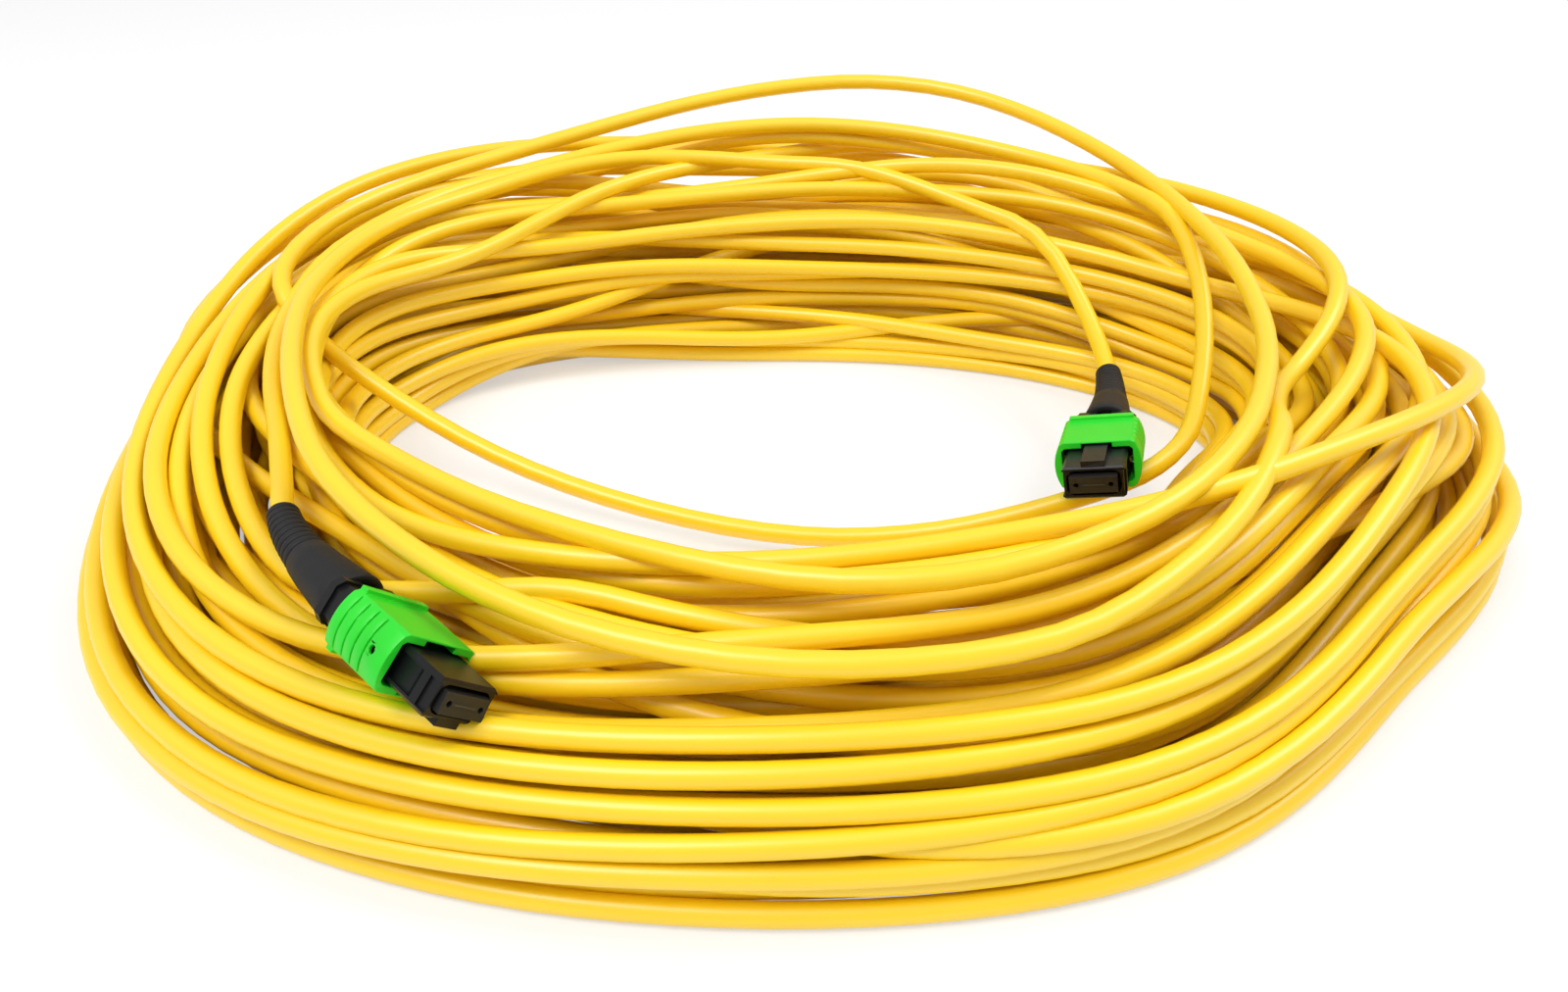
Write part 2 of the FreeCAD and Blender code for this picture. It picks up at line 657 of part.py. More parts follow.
def main():
    os.makedirs("parts", exist_ok=True)
    nodes = {"cable_coil": make_nest()}
    routes = {
        "crossing_turn": CROSSING_TURN_POINTS,
        "stray_turn": STRAY_TURN_POINTS,
    }
    for end, own_points in (("a", LEAD_A_POINTS), ("b", LEAD_B_POINTS)):
        pieces, start = make_plug(PLUG_PLACES[end])
        for piece, shape in pieces.items():
            nodes[piece + "_" + end] = shape
        routes["lead_" + end] = start + own_points
        print("lead", end, "starts", [tuple(round(c, 2) for c in point) for point in start])
    for name, points in routes.items():
        nodes[name] = make_tube(name, points)
    for name, shape in nodes.items():
        if not shape.isValid():
            raise ValueError(name + " is not a valid shape")
        shape.exportStep("parts/" + name + ".step")


main()
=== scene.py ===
import math

import bmesh
import bpy
import numpy as np
from mathutils import Matrix, Vector


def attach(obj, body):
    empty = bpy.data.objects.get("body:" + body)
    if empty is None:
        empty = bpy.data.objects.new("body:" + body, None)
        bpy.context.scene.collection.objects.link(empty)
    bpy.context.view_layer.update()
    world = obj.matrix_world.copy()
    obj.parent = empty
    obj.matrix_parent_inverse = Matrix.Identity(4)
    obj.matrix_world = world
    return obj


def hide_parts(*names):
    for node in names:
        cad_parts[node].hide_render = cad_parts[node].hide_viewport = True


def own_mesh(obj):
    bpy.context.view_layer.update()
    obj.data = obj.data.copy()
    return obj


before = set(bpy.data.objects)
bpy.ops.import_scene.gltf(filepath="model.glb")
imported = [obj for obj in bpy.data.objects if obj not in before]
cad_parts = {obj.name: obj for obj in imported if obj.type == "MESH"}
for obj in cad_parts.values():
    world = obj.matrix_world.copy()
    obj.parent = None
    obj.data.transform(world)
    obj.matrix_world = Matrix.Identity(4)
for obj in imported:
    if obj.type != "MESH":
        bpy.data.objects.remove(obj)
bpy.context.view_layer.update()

bl_info = {
    "name": "Fibre optic trunk cable",
    "version": (1, 0, 0),
    "blender": (4, 5, 0),
    "location": "View3D > Sidebar > Trunk cable",
    "description": "Winds a trunk cable into a loose nest and finishes the push-pull plug on each end",
    "category": "Object",
}

# Where each plug lies, as in the part's source: the middle of its front face, the way it points
# and the way its key faces.
PLUGS = {
    "a": {
        "face": (-0.0381, -0.0811, 0.0213),
        "forward": (0.713, -0.700, -0.017),
        "key": (-0.51, -0.50, -0.70),
    },
    "b": {
        "face": (0.0384, -0.0386, 0.0210),
        "forward": (-0.321, -0.930, 0.177),
        "key": (-0.17, 0.24, 0.96),
    },
}

# The springs in a plug's own frame: ends, half width and half height at the middle of the wire, wire
# radius, turns, sideways places, and a joint and its travel.
SPRINGS = {
    "ferrule_spring_": {
        "front": -0.0087, "back": -0.01265, "half_w": 0.0031, "half_h": 0.0012, "wire_r": 0.0002,
        "turns": 4, "sides": (0.0,), "joint": "ferrule_float_", "travel": 0.0008,
    },
    "sleeve_springs_": {
        "front": -0.00865, "back": -0.01375, "half_w": 0.00051, "half_h": 0.00051, "wire_r": 0.00011,
        "turns": 8, "sides": (-0.00472, 0.00472), "joint": "sleeve_slide_", "travel": 0.0024,
    },
}
# The share of a turn at each end of a spring that lies closed, steps to a turn and sides of the wire.
CLOSED_TURN = 0.8
SPRING_STEPS = 24
WIRE_SIDES = 8

# The ferrule's face: how far it stands out of the housing, half its height, its slant, and the fibre
# ends in it: radii at the back and the front of an end, and its length.
FACE_PROUD = 0.0010
FACE_HALF_H = 0.00125
FACE_SLANT = math.radians(8)
FIBRE_BACK_R = 0.0000625
FIBRE_FRONT_R = 0.00006
FIBRE_END_L = 0.00003

# The boot from its front at the collar: lengths of its smooth front and its ribbed tail, radii of its
# front, its waist and its first and last rib, the depth of the grooves, the share of a rib's pitch that
# a groove takes, the rounding of its edges and (distance, radius) steps of its bore.
BOOT_FRONT = -0.0225
BOOT_SMOOTH_L = 0.0118
BOOT_TAIL_L = 0.0115
BOOT_FRONT_R = 0.0039
BOOT_BACK_R = 0.0029
BOOT_RIBS = 9
BOOT_RIB_FRONT_R = 0.0027
BOOT_RIB_BACK_R = 0.0021
BOOT_GROOVE = 0.0003
BOOT_GROOVE_SHARE = 0.28
BOOT_FRONT_EASE = 0.0003
BOOT_WAIST_EASE = 0.0002
BOOT_RIB_EASE = 0.00012
BOOT_GROOVE_EASE = 0.00006
BOOT_SIDES = 40
BOOT_BORE = [(0.0, 0.00256), (0.0065, 0.00256), (0.0066, 0.00196), (0.0101, 0.00196), (0.0102, 0.00156)]
BOOT_BORE_STEPS = (0.5, 0.6, 0.7, 0.8, 0.9, 0.999)
BOOT_LINE_POINTS = 80

# Stretches of the cable that the photograph shows one by one, in the order of its run from plug a to
# plug b. The sweep is angles in degrees and shares of the way from the inside of the ring to its outside.
LEAD_A = [
    (-0.0571, -0.0625, 0.0218), (-0.0671, -0.0527, 0.0220), (-0.0726, -0.0385, 0.0216),
    (-0.0770, -0.0270, 0.0228), (-0.0816, -0.0165, 0.0243), (-0.0845, -0.0055, 0.0260),
    (-0.0855, 0.0060, 0.0265), (-0.0840, 0.0190, 0.0260),
]
BACK_SWEEP = [(146, 0.44), (128, 0.52), (108, 0.62), (84, 0.70), (58, 0.60), (38, 0.36), (24, 0.14)]
CROSSING = [
    (0.0665, 0.0030, 0.0180), (0.0630, -0.0090, 0.0172),
    (0.0576, -0.0227, 0.0160), (0.0528, -0.0271, 0.0154), (0.0414, -0.0296, 0.0132),
    (0.0315, -0.0295, 0.0090), (0.0174, -0.0282, 0.0032), (0.0037, -0.0272, 0.0020),
    (-0.0163, -0.0260, 0.0035), (-0.0352, -0.0205, 0.0060), (-0.0560, -0.0095, 0.0085),
    (-0.0700, -0.0040, 0.0140), (-0.0834, -0.0010, 0.0225), (-0.0895, 0.0060, 0.0265),
    (-0.0920, 0.0160, 0.0290), (-0.0890, 0.0330, 0.0310),
]
STRAY_TURN = [
    (-0.0760, 0.0510, 0.0330), (-0.0575, 0.0610, 0.0355), (-0.0399, 0.0706, 0.0380),
    (-0.0276, 0.0809, 0.0393), (-0.0080, 0.0905, 0.0412), (0.0131, 0.0908, 0.0427),
    (0.0303, 0.0870, 0.0431), (0.0499, 0.0748, 0.0402), (0.0603, 0.0556, 0.0366),
    (0.0672, 0.0386, 0.0345), (0.0695, 0.0217, 0.0340), (0.0703, 0.0081, 0.0335),
    (0.0695, -0.0069, 0.0330), (0.0677, -0.0177, 0.0325), (0.0630, -0.0305, 0.0320),
    (0.0545, -0.0471, 0.0310), (0.0469, -0.0552, 0.0300), (0.0323, -0.0638, 0.0285),
    (0.0176, -0.0701, 0.0280), (0.0024, -0.0705, 0.0270), (-0.0215, -0.0620, 0.0245),
    (-0.0405, -0.0475, 0.0215),
]
TOP_TURN = [
    (0.0650, -0.0309, 0.0260), (0.0615, -0.0418, 0.0260), (0.0558, -0.0530, 0.0260),
    (0.0408, -0.0696, 0.0260), (0.0296, -0.0758, 0.0260), (0.0151, -0.0812, 0.0260),
    (-0.0062, -0.0825, 0.0260), (-0.0253, -0.0781, 0.0262), (-0.0412, -0.0678, 0.0268),
    (-0.0512, -0.0598, 0.0274), (-0.0594, -0.0519, 0.0284), (-0.0652, -0.0444, 0.0294),
    (-0.0710, -0.0348, 0.0304), (-0.0784, -0.0147, 0.0315), (-0.0812, -0.0018, 0.0315),
    (-0.0819, 0.0103, 0.0315), (-0.0789, 0.0248, 0.0315), (-0.0738, 0.0356, 0.0315),
    (-0.0649, 0.0452, 0.0315), (-0.0512, 0.0559, 0.0315), (-0.0364, 0.0636, 0.0310),
    (-0.0205, 0.0650, 0.0305), (-0.0040, 0.0614, 0.0295), (0.0087, 0.0591, 0.0280),
    (0.0211, 0.0539, 0.0260), (0.0320, 0.0470, 0.0240), (0.0453, 0.0360, 0.0200),
]
LEAD_B = [(0.0523, 0.0150, 0.0163), (0.0514, -0.0008, 0.0138), (0.0469, -0.0139, 0.0163)]
# How many points at the start of lead a and of the crossing turn keep their own height.
LEAD_A_FREE = 3
CROSSING_FREE = 10
SWEEP_POINTS = 80

# The ring that the turns lie in: half width, half depth and middle Y of its inside and its outside.
RING_INSIDE = (0.0725, 0.0415, -0.0045)
RING_OUTSIDE = (0.1040, 0.0905, 0.0)
# How far the inside and the outside stand out from those ovals at an angle in degrees.
RING_SHAPE = [
    (0, 0.97, 1.06), (15, 1.00, 1.03), (30, 1.00, 1.01), (60, 0.98, 1.00), (90, 0.97, 1.00),
    (105, 0.98, 1.03),
    (120, 1.02, 1.083), (135, 1.06, 1.115), (150, 1.06, 1.10), (165, 1.04, 1.065), (180, 1.03, 1.045),
    (195, 1.02, 1.075), (210, 1.05, 1.12), (225, 1.11, 1.135), (240, 1.16, 1.10), (255, 1.155, 1.06),
    (270, 1.13, 1.035), (285, 1.08, 1.04), (300, 1.00, 1.035), (315, 0.94, 0.97), (325, 0.89, 0.98),
    (336, 0.85, 1.06), (345, 0.90, 1.085), (355, 0.95, 1.07),
]
# Angles in degrees where the wound turns start and end, and the heights of the heap's crest round it.
FIRST_TURN_AT = 227
LAST_TURN_AT = -32
HEAP_CRESTS = [
    (0, 0.0295), (30, 0.0300), (60, 0.0315), (90, 0.0360), (120, 0.0360), (150, 0.0335), (180, 0.0305),
    (205, 0.0265), (228, 0.0205), (250, 0.0215), (270, 0.0235), (300, 0.0250), (330, 0.0280),
]
# How the crests are measured and met: degrees from one to the next and to each side, the percentile of
# the heights that counts as crest, the limits of the stretch, and the share of the way out from the
# inside of the ring over which a stretch sets in.
CREST_EVERY = 10
CREST_SPREAD = 14
CREST_PERCENTILE = 97
CREST_STRETCH = (0.7, 1.8)
CREST_INSIDE = 0.35
# Room for the plugs: two ends and the half width of a strip, and the highest middle of a strand in it.
PLUG_ROOM = [
    ((-0.0381, -0.0811), (-0.0556, -0.0639), 0.0085, 0.0132),
    ((-0.0556, -0.0639), (-0.0671, -0.0527), 0.0060, 0.0162),
    ((-0.0671, -0.0527), (-0.0726, -0.0385), 0.0045, 0.0168),
    ((-0.0726, -0.0385), (-0.0816, -0.0165), 0.0030, 0.0190),
    ((0.0360, -0.0450), (0.0410, -0.0310), 0.0090, 0.0130),
]
ROOM_DEEPEST = 0.01
# How the turns are wound: the step along a strand, the mean radius of the ring, steps from one control
# point of the cable to the next, the turn from one knot of a run to the next, and knots in a run.
STEP = 0.002
RING_RADIUS = 0.082
POINT_EVERY = 6
KNOT_TURN = math.radians(79)
KNOTS_A_RUN = 4
# The length in which a strand bridges dips, and the steps at the end of a run that wait for the next.
BRIDGE_REACH = 0.030
RUN_END = 6
# The dent beside plug a: its angle and spread, how far it draws a strand in, and the dents tried.
DENT_AT = math.radians(224)
DENT_SPREAD = math.radians(33)
DENT_DRAW = 0.7
DENT_INWARD = 0.03
DENTS = (0.0, 0.6, 1.0)
# Where the runs may lie from the inside of the ring to its outside: the first runs, then a band that
# narrows from (low, high) by (low, high) towards the last, and where the last runs end.
FIRST_RUNS = 3
FIRST_BAND = (0.80, 1.0)
BAND = (0.02, 0.98)
BAND_NARROWS = (0.20, 0.14)
LAST_SHARES = {1: 0.10, -1: 0.20}
# Places tried for a run, how far its knots stray, and what the highest point, a dent and a plug's room cost.
TRIES = 16
STRAY = 0.035
COST_OF_TOP = 0.35
COST_OF_DENT = 0.0002
COST_OF_ROOM = 4
# How much of its thickness a strand keeps under the next: deep in the heap, near its top and on it, from
# which share of the runs that is, and in the whole heap once its crests are set.
DEEP_TIGHTNESS = 0.70
TOP_TIGHTNESS = 0.95
TOP_FROM = 0.75
HEAP_TIGHTNESS = 0.9

# The camera and the studio: places in metres, the lamps' width, half the floor's side and how much of
# the floor is plain white to the eye.
CAMERA_PLACE = (-0.004, -0.167, 0.1064)
CAMERA_TILT = math.radians(55.7)
SENSOR_WIDTH = 36
KEY_PLACE = (-0.35, -0.30, 0.85)
FILL_PLACE = (0.55, 0.15, 0.80)
LAMP_SIZE = 0.45
FLOOR_HALF = 4.0
FLOOR_WHITE = 0.5


def plug_frame(end):
    """The matrix from a plug's own frame, in metres, to the part's frame."""
    place = PLUGS[end]
    x = Vector(place["forward"]).normalized()
    y = Vector(place["key"]).cross(x).normalized()
    z = x.cross(y)
    return Matrix.Translation(place["face"]) @ Matrix((x, y, z)).transposed().to_4x4()


class Heap:
    """The lowest height for the middle of one more strand, over a grid of the floor."""

    CELL = 0.0006
    REACH = 0.12

    def __init__(self, diameter):
        cells = int(2 * self.REACH / self.CELL) + 1
        self.height = np.full((cells, cells), diameter / 2)
        span = int(diameter / self.CELL) + 1
        across, along = np.meshgrid(np.arange(-span, span + 1), np.arange(-span, span + 1))
        apart = (across ** 2 + along ** 2) * self.CELL ** 2
        near = apart < diameter ** 2
        self.across, self.along = across[near], along[near]
        self.hump = np.sqrt(diameter ** 2 - apart[near])

    def cells(self, places):
        return np.round((places[:, :2] + self.REACH) / self.CELL).astype(int)

    def under(self, places):
        """The heights that the heap asks of a strand at these places."""
        cell = self.cells(places)
        return self.height[cell[:, 1], cell[:, 0]]

    def lay(self, points, tightness):
        """Adds a strand to the heap. Strands deep inside press into each other a little."""
        cell = self.cells(points)
        column = (cell[:, 0][:, None] + self.across).ravel()
        row = (cell[:, 1][:, None] + self.along).ravel()
        top = (points[:, 2][:, None] + tightness * self.hump).ravel()
        np.maximum.at(self.height, (row, column), top)


def rolled(values, width):
    """Values averaged over a window that moves along them."""
    padded = np.pad(values, width // 2, mode="edge")
    return np.convolve(padded, np.ones(width) / width, mode="valid")


def bridged(heights, stiffness):
    """The heights of a springy strand over what carries it: it bridges dips and bends in long curves."""
    lifted = heights.copy()
    for k in range(1, int(BRIDGE_REACH / STEP) + 1):
        drop = (k * STEP) ** 2 / (2 * stiffness)
        lifted[k:] = np.maximum(lifted[k:], heights[:-k] - drop)
        lifted[:-k] = np.maximum(lifted[:-k], heights[k:] - drop)
    return rolled(lifted, int(BRIDGE_REACH / STEP) | 1)


def on_ring(turn, share):
    """Places on the ring at an angle, from its inside at 0 to its outside at 1."""
    half_w, half_d, middle = (inside + (outside - inside) * share
                              for inside, outside in zip(RING_INSIDE, RING_OUTSIDE))
    shape_at, inside, outside = np.array(RING_SHAPE).T
    inside, outside = (np.interp(np.degrees(turn), shape_at, side, period=360) for side in (inside, outside))
    reach = inside + (outside - inside) * share
    return np.stack([half_w * reach * np.cos(turn), middle + half_d * reach * np.sin(turn)], axis=-1)


def ring_run(first, last, shares, dent):
    """Angles and places of a run round the ring through shares at even angles, dented beside plug a."""
    count = int(abs(last - first) * RING_RADIUS / STEP)
    at = np.linspace(0, len(shares) - 1, count + 1)
    knot = np.minimum(at.astype(int), len(shares) - 2)
    ease = at - knot
    ease = ease * ease * (3 - 2 * ease)
    share = shares[knot] + (shares[knot + 1] - shares[knot]) * ease
    turn = first + (last - first) * at / (len(shares) - 1)
    from_plug = (turn - DENT_AT + math.pi) % (2 * math.pi) - math.pi
    bump = dent * np.exp(-(from_plug / DENT_SPREAD) ** 2)
    return turn, on_ring(turn, share * (1 - DENT_DRAW * bump) - DENT_INWARD * bump)


def in_plug_room(places, heights):
    """How far a run stands in the room of the plugs, in metres."""
    excess = 0.0
    for first, last, half_w, highest in PLUG_ROOM:
        start = np.array(first)
        along = np.array(last) - start
        share = np.clip((places - start) @ along / (along @ along), 0, 1)
        near = np.linalg.norm(places - start - share[:, None] * along, axis=1) < half_w
        if near.any():
            excess += np.mean(np.clip(heights[near] - highest, 0, ROOM_DEEPEST))
    return excess


def wind(cable, heap):
    """The turns from the middle of the cable outwards, as runs of angles and points for each half."""
    dice = np.random.default_rng(cable.seed)
    whole = math.radians(FIRST_TURN_AT - LAST_TURN_AT) + 2 * math.pi * cable.turns
    middle = math.radians(FIRST_TURN_AT) - whole / 2
    count = round(whole / 2 / (KNOT_TURN * KNOTS_A_RUN))
    run_turn = whole / 2 / count
    halves = {1: [], -1: []}
    ends = {1: (middle, 0.5), -1: (middle, 0.5)}
    waiting = {1: None, -1: None}
    for k in range(count):
        progress = k / (count - 1)
        low, high = BAND[0] + BAND_NARROWS[0] * progress ** 2, BAND[1] - BAND_NARROWS[1] * progress ** 2
        if k < FIRST_RUNS:
            low, high = FIRST_BAND
        tightness = DEEP_TIGHTNESS if progress < TOP_FROM else TOP_TIGHTNESS
        for way in (1, -1):
            first, share = ends[way]
            best = None
            for home in dice.uniform(low, high, TRIES):
                shares = np.concatenate([[share], home + dice.normal(0, STRAY, KNOTS_A_RUN)]).clip(0, 1)
                if k == count - 1:
                    shares[-2 if way == 1 else -1:] = LAST_SHARES[way]
                for dent in DENTS if k < count - 1 else DENTS[:1]:
                    turn, places = ring_run(first, first + way * run_turn, shares, dent)
                    heights = bridged(heap.under(places), cable.stiffness)
                    cost = heights.mean() + COST_OF_TOP * heights.max() + COST_OF_DENT * dent
                    cost += COST_OF_ROOM * in_plug_room(places, heights)
                    if best is None or cost < best[0]:
                        best = (cost, turn, np.column_stack([places, heights]), shares[-1])
            _, turn, points, share = best
            halves[way].append((turn, points))
            ends[way] = (turn[-1], share)
            heap.lay(points[RUN_END:-RUN_END], tightness)
            if waiting[way] is not None:
                heap.lay(waiting[way], tightness)
            waiting[way] = points[-RUN_END:]
    return halves


def to_crests(turn, points, runs, radius):
    """Heights stretched or pressed so that the heap's crest all round is as high as in the photograph."""
    angles = np.concatenate([np.degrees(run_turn) % 360 for run_turn, _ in runs])
    tops = np.concatenate([points[:, 2] for _, points in runs])
    middles = np.arange(0, 360, CREST_EVERY)
    crest = []
    for middle in middles:
        near = np.abs((angles - middle + 180) % 360 - 180) < CREST_SPREAD
        crest.append(np.percentile(tops[near], CREST_PERCENTILE))
    wanted_at, wanted = zip(*HEAP_CRESTS)
    goal = np.interp(middles, wanted_at, wanted, period=360)
    stretch = ((goal - radius) / (np.array(crest) - radius)).clip(*CREST_STRETCH)
    factor = np.interp(np.degrees(turn), middles, stretch, period=360)
    inside = on_ring(turn, 0.0)
    across = on_ring(turn, 1.0) - inside
    share = np.sum((points[:, :2] - inside) * across, axis=1) / np.sum(across ** 2, axis=1)
    factor = np.minimum(factor, 1 + (factor - 1) * np.clip(share / CREST_INSIDE, 0, 1))
    return radius + (points[:, 2] - radius) * factor


def laid_over(points, heap):
    """A listed stretch, raised wherever the heap under it is higher."""
    points = np.array(points)
    points[:, 2] = np.maximum(points[:, 2], heap.under(points))
    heap.lay(points, TOP_TIGHTNESS)
    return points


def cable_points(cable):
    """The control points of the whole cable from plug a to plug b."""
    radius = cable.diameter / 2
    halves = wind(cable, Heap(cable.diameter))
    runs = [run for way in (1, -1) for run in halves[way]]
    heap = Heap(cable.diameter)
    wound = {}
    for way in (1, -1):
        turn = np.concatenate([run_turn for run_turn, _ in halves[way]])
        points = np.concatenate([run_points for _, run_points in halves[way]])
        points[:, 2] = to_crests(turn, points, runs, radius)
        heap.lay(points, HEAP_TIGHTNESS)
        wound[way] = points[::POINT_EVERY]
    sweep_at, sweep_share = np.array(BACK_SWEEP).T
    angles = np.radians(np.linspace(sweep_at[0], sweep_at[-1], SWEEP_POINTS))
    places = on_ring(angles, np.interp(-angles, -np.radians(sweep_at), sweep_share))
    sweep = np.column_stack([places, bridged(heap.under(places), cable.stiffness)])
    heap.lay(sweep, TOP_TIGHTNESS)
    points = np.concatenate([
        LEAD_A[:LEAD_A_FREE], laid_over(LEAD_A[LEAD_A_FREE:], heap), sweep[::POINT_EVERY],
        CROSSING[:CROSSING_FREE], laid_over(CROSSING[CROSSING_FREE:], heap), laid_over(STRAY_TURN, heap),
        wound[1][::-1], wound[-1], laid_over(TOP_TURN, heap), LEAD_B,
    ])
    inner = slice(len(LEAD_A), -len(LEAD_B) - 1)
    for axis in range(3):
        points[inner, axis] = rolled(points[:, axis], 3)[inner]
    return points


def cable_line(cable_object):
    """Points close together along the middle of the cable, from plug a to plug b."""
    line = cable_object.data.copy()
    line.bevel_depth = 0
    line.resolution_u = 12
    bare = bpy.data.objects.new("line", line)
    mesh = bpy.data.meshes.new_from_object(bare)
    points = [vertex.co.copy() for vertex in mesh.vertices]
    bpy.data.objects.remove(bare)
    bpy.data.curves.remove(line)
    bpy.data.meshes.remove(mesh)
    return points


def boot_outline():
    """The outside of the boot as (distance from its front, radius), with rounded edges."""
    edge = 0.3 * BOOT_FRONT_EASE
    outline = [
        (0.0, BOOT_FRONT_R - BOOT_FRONT_EASE), (edge, BOOT_FRONT_R - edge), (BOOT_FRONT_EASE, BOOT_FRONT_R)]
    back = BOOT_SMOOTH_L - BOOT_WAIST_EASE / 2
    for share in (0.25, 0.5, 0.75):
        outline.append((back * share, BOOT_FRONT_R + (BOOT_BACK_R - BOOT_FRONT_R) * share))
    outline += [(back - BOOT_WAIST_EASE, BOOT_BACK_R), (back, BOOT_BACK_R - BOOT_WAIST_EASE)]
    pitch = BOOT_TAIL_L / BOOT_RIBS
    for rib in range(BOOT_RIBS):
        radius = BOOT_RIB_FRONT_R + (BOOT_RIB_BACK_R - BOOT_RIB_FRONT_R) * rib / (BOOT_RIBS - 1)
        front = BOOT_SMOOTH_L + (rib + BOOT_GROOVE_SHARE) * pitch
        back = BOOT_SMOOTH_L + (rib + 1) * pitch
        outline += [
            (front - BOOT_GROOVE_EASE, radius - BOOT_GROOVE), (front, radius - BOOT_RIB_EASE),
            (front + BOOT_RIB_EASE, radius), (back - BOOT_RIB_EASE, radius), (back, radius - BOOT_RIB_EASE),
        ]
        if rib < BOOT_RIBS - 1:
            outline.append((back + BOOT_GROOVE_EASE, radius - BOOT_GROOVE))
    return outline


def sheathe(shape, line, profile, up, sides):
    """Fills a bmesh with a closed hollow form along a line, from a ring of (distance, radius) steps."""
    reach = [0.0]
    for here, there in zip(line, line[1:]):
        reach.append(reach[-1] + (there - here).length)
    rings = []
    for distance, radius in profile:
        k = min(max(int(np.searchsorted(reach, distance)), 1), len(line) - 1)
        step = line[k] - line[k - 1]
        middle = line[k - 1] + step * ((distance - reach[k - 1]) / step.length)
        across = step.cross(up).normalized()
        over = across.cross(step).normalized()
        angles = [2 * math.pi * side / sides for side in range(sides)]
        rings.append([
            shape.verts.new(middle + (across * math.cos(angle) + over * math.sin(angle)) * radius)
            for angle in angles
        ])
    for ring, following in zip(rings, rings[1:] + rings[:1]):
        for side in range(sides):
            other = (side + 1) % sides
            shape.faces.new((ring[side], ring[other], following[other], following[side]))


class Wire:
    """One value of a finish, with the arithmetic that adds Math nodes."""

    def __init__(self, finish, socket):
        self.finish = finish
        self.socket = socket

    def maths(self, operation, first, second):
        return self.finish.node("ShaderNodeMath", {"operation": operation}, {0: first, 1: second})

    def __add__(self, other):
        return self.maths("ADD", self, other)

    def __radd__(self, other):
        return self.maths("ADD", other, self)

    def __mul__(self, other):
        return self.maths("MULTIPLY", self, other)

    def __rmul__(self, other):
        return self.maths("MULTIPLY", other, self)


class Finish:
    """A material and the nodes that give it its look."""

    def __init__(self, name):
        self.material = bpy.data.materials.new(name)
        self.material.use_nodes = True
        self.tree = self.material.node_tree
        self.shader = self.tree.nodes["Principled BSDF"]

    def feed(self, socket, value):
        if isinstance(value, Wire):
            self.tree.links.new(value.socket, socket)
        else:
            socket.default_value = value

    def node(self, kind, settings=None, sockets=None, output=0):
        """Adds a node: its settings first, then the values or links of its sockets."""
        made = self.tree.nodes.new(kind)
        for name, value in (settings or {}).items():
            setattr(made, name, value)
        for name, value in (sockets or {}).items():
            self.feed(made.inputs[name], value)
        return Wire(self, made.outputs[output])

    def noise(self, scale, detail, roughness=0.5):
        """Noise over the surface, placed by where a point is in its object, in metres."""
        place = self.node("ShaderNodeTexCoord", output="Object")
        return self.node("ShaderNodeTexNoise", None, {
            "Vector": place, "Scale": scale, "Detail": detail, "Roughness": roughness})

    def mix(self, share, first, second):
        """A colour between two."""
        return self.node("ShaderNodeMix", {"data_type": "RGBA"}, {
            "Factor": share, 6: first, 7: second}, output=2)

    def bump(self, height, distance, strength):
        """A surface raised and lowered by a height."""
        return self.node("ShaderNodeBump", None, {
            "Strength": strength, "Distance": distance, "Height": height})

    def set(self, **sockets):
        """Sets or links the shader's own sockets, with _ for a space in their names."""
        for name, value in sockets.items():
            self.feed(self.shader.inputs[name.replace("_", " ")], value)
        return self.material


def solid(colour):
    """A colour with full alpha."""
    return (*colour, 1.0)


def jacket_finish(colour):
    """Smooth satin jacket, a little uneven from the die, with faint handling marks."""
    finish = Finish("cable_jacket")
    cloud = finish.noise(scale=55, detail=3)
    grain = finish.noise(scale=2600, detail=2)
    deep = tuple(c * k for c, k in zip(colour, (0.93, 0.86, 0.55)))
    return finish.set(
        Base_Color=finish.mix(cloud * 0.7, solid(colour), solid(deep)),
        Roughness=0.33 + cloud * 0.12 + grain * 0.06,
        Normal=finish.bump(grain * 0.5 + cloud, distance=0.00005, strength=0.35),
        Specular_IOR_Level=0.7,
        Coat_Weight=0.4,
        Coat_Roughness=0.32,
    )


def moulded_finish(name, colour, gloss, grain_size, shine=0.5):
    """Moulded plastic with a fine spark-eroded grain and slightly worn shine."""
    finish = Finish(name)
    cloud = finish.noise(scale=160, detail=2)
    grain = finish.noise(scale=grain_size, detail=3, roughness=0.6)
    lighter = tuple(min(1.0, c * 1.25 + 0.004) for c in colour)
    return finish.set(
        Base_Color=finish.mix(cloud, solid(colour), solid(lighter)),
        Roughness=gloss + cloud * 0.10 + grain * 0.08,
        Normal=finish.bump(grain, distance=0.00003, strength=0.5),
        Specular_IOR_Level=shine,
    )


def rubber_finish(colour):
    """Matt soft rubber with a fine skin."""
    finish = Finish("boot_rubber")
    cloud = finish.noise(scale=240, detail=3)
    skin = finish.noise(scale=3800, detail=3, roughness=0.65)
    lighter = tuple(c * 1.7 + 0.004 for c in colour)
    return finish.set(
        Base_Color=finish.mix(cloud * 0.8, solid(colour), solid(lighter)),
        Roughness=0.50 + cloud * 0.14 + skin * 0.10,
        Normal=finish.bump(skin, distance=0.00004, strength=0.5),
        Specular_IOR_Level=0.35,
    )


def metal_finish(name, colour, roughness):
    """Drawn metal with fine lines along it."""
    finish = Finish(name)
    lines = finish.noise(scale=2200, detail=3)
    darker = tuple(c * 0.75 for c in colour)
    return finish.set(
        Base_Color=finish.mix(lines, solid(colour), solid(darker)),
        Metallic=1.0,
        Roughness=roughness + lines * 0.15,
        Normal=finish.bump(lines, distance=0.00002, strength=0.4),
    )


